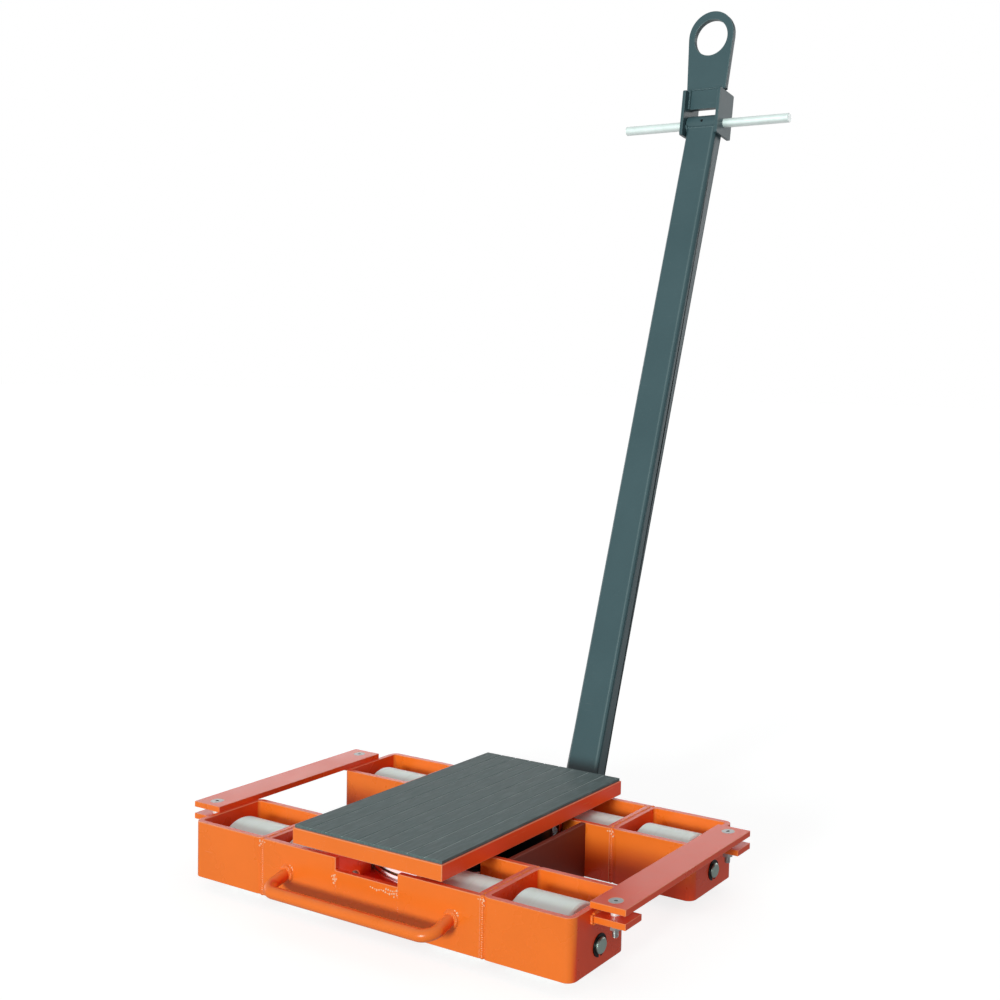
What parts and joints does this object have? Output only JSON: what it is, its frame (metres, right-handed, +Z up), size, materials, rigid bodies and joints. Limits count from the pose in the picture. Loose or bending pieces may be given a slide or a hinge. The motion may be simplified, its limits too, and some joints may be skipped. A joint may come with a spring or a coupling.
{
  "type": "machine skate",
  "caption": "Steerable machine skate: low welded frame on nylon rollers, swivelling load plate with rubber pad, carrying handle, hinged drawbar with pull rod and towing eye.",
  "frame": {"origin": "middle of the load face, the top of the rubber pad, on the axis of the turntable", "axes": "+Z up, away from the floor; X along the rollers' axles, from the left tie bar to the right one; +Y towards the drawbar. The floor is at z = -0.125 m."},
  "size_m": [0.724, 0.9172, 1.3813],
  "materials": {
    "frame_paint": "satin orange paint",
    "plate_paint": "satin orange paint",
    "drawbar_paint": "satin slate grey paint",
    "zinc": "bright zinc plating",
    "bearing_steel": "ground bearing steel",
    "clip_steel": "blackened spring steel",
    "nylon": "turned off-white nylon",
    "pad_rubber": "matt ribbed rubber",
    "cage_brass": "pressed brass"
  },
  "bodies": {
    "skate_frame": {"box_front_left": "frame_paint", "box_front_right": "frame_paint", "box_rear_left": "frame_paint", "box_rear_right": "frame_paint", "front_wall": "frame_paint", "rear_wall": "frame_paint", "inner_walls": "frame_paint", "pocket_walls": "frame_paint", "divider_plates": "frame_paint", "cross_webs": "frame_paint", "base_plate": "frame_paint", "weld_beads": "frame_paint", "carrying_handle": "frame_paint", "tie_bar_lugs": "frame_paint", "tie_bar_left": "frame_paint", "tie_bar_right": "frame_paint", "tie_bar_bolts": "zinc", "tie_bar_spacers": "zinc", "tie_bar_washers": "zinc", "tie_bar_nuts": "zinc", "axles": "zinc", "axle_clips": "clip_steel", "axle_spacers": "zinc", "bearing_inner_rings": "bearing_steel", "lower_race": "zinc", "king_bolt": "zinc", "king_nut": "zinc", "hinge_lugs": "frame_paint", "hinge_pin": "zinc", "hinge_discs": "zinc", "hinge_split_pin": "zinc"},
    "turntable": {"load_plate": "plate_paint", "rubber_pad": "pad_rubber", "turntable_hub": "zinc", "upper_race": "zinc"},
    "ball_ring": {"ball_cage": "cage_brass", "race_balls": "bearing_steel"},
    "roller_unit_1": {"roller_1": "nylon", "bearings_1": "bearing_steel"},
    "roller_unit_2": {"roller_2": "nylon", "bearings_2": "bearing_steel"},
    "roller_unit_3": {"roller_3": "nylon", "bearings_3": "bearing_steel"},
    "roller_unit_4": {"roller_4": "nylon", "bearings_4": "bearing_steel"},
    "roller_unit_5": {"roller_5": "nylon", "bearings_5": "bearing_steel"},
    "roller_unit_6": {"roller_6": "nylon", "bearings_6": "bearing_steel"},
    "roller_unit_7": {"roller_7": "nylon", "bearings_7": "bearing_steel"},
    "roller_unit_8": {"roller_8": "nylon", "bearings_8": "bearing_steel"},
    "drawbar": {"drawbar_tube": "drawbar_paint", "hinge_bush": "drawbar_paint", "rod_sleeve": "drawbar_paint", "pull_rod": "zinc", "rod_lock_pin": "clip_steel"},
    "towing_fork": {"fork_cheeks": "drawbar_paint", "towing_eye": "drawbar_paint"}
  },
  "joints": [
    {"name": "turntable_swivel", "type": "hinge", "parent": "skate_frame", "child": "turntable", "pos_m": [0, 0, -0.025], "axis": [0, 0, 1], "continuous": true},
    {"name": "ball_ring_turn", "type": "hinge", "parent": "skate_frame", "child": "ball_ring", "pos_m": [0, 0, -0.0675], "axis": [0, 0, 1], "continuous": true},
    {"name": "roller_1_spin", "type": "hinge", "parent": "skate_frame", "child": "roller_unit_1", "pos_m": [-0.245, -0.142, -0.081], "axis": [1, 0, 0], "continuous": true},
    {"name": "roller_2_spin", "type": "hinge", "parent": "skate_frame", "child": "roller_unit_2", "pos_m": [-0.1285, -0.142, -0.081], "axis": [1, 0, 0], "continuous": true},
    {"name": "roller_3_spin", "type": "hinge", "parent": "skate_frame", "child": "roller_unit_3", "pos_m": [0.1285, -0.142, -0.081], "axis": [1, 0, 0], "continuous": true},
    {"name": "roller_4_spin", "type": "hinge", "parent": "skate_frame", "child": "roller_unit_4", "pos_m": [0.245, -0.142, -0.081], "axis": [1, 0, 0], "continuous": true},
    {"name": "roller_5_spin", "type": "hinge", "parent": "skate_frame", "child": "roller_unit_5", "pos_m": [-0.245, 0.142, -0.081], "axis": [1, 0, 0], "continuous": true},
    {"name": "roller_6_spin", "type": "hinge", "parent": "skate_frame", "child": "roller_unit_6", "pos_m": [-0.1285, 0.142, -0.081], "axis": [1, 0, 0], "continuous": true},
    {"name": "roller_7_spin", "type": "hinge", "parent": "skate_frame", "child": "roller_unit_7", "pos_m": [0.1285, 0.142, -0.081], "axis": [1, 0, 0], "continuous": true},
    {"name": "roller_8_spin", "type": "hinge", "parent": "skate_frame", "child": "roller_unit_8", "pos_m": [0.245, 0.142, -0.081], "axis": [1, 0, 0], "continuous": true},
    {"name": "drawbar_tilt", "type": "hinge", "parent": "skate_frame", "child": "drawbar", "pos_m": [0, 0.2815, -0.0755], "axis": [-1, 0, 0], "range_deg": [-32.5, 72.5]},
    {"name": "towing_fork_swing", "type": "hinge", "parent": "drawbar", "child": "towing_fork", "pos_m": [0, 0.63693, 1.05179], "axis": [-1, 0, 0], "range_deg": [-90, 109]}
  ],
  "couplings": [
    {"joint": "ball_ring_turn", "follows": "turntable_swivel", "ratio": 0.5}
  ]
}
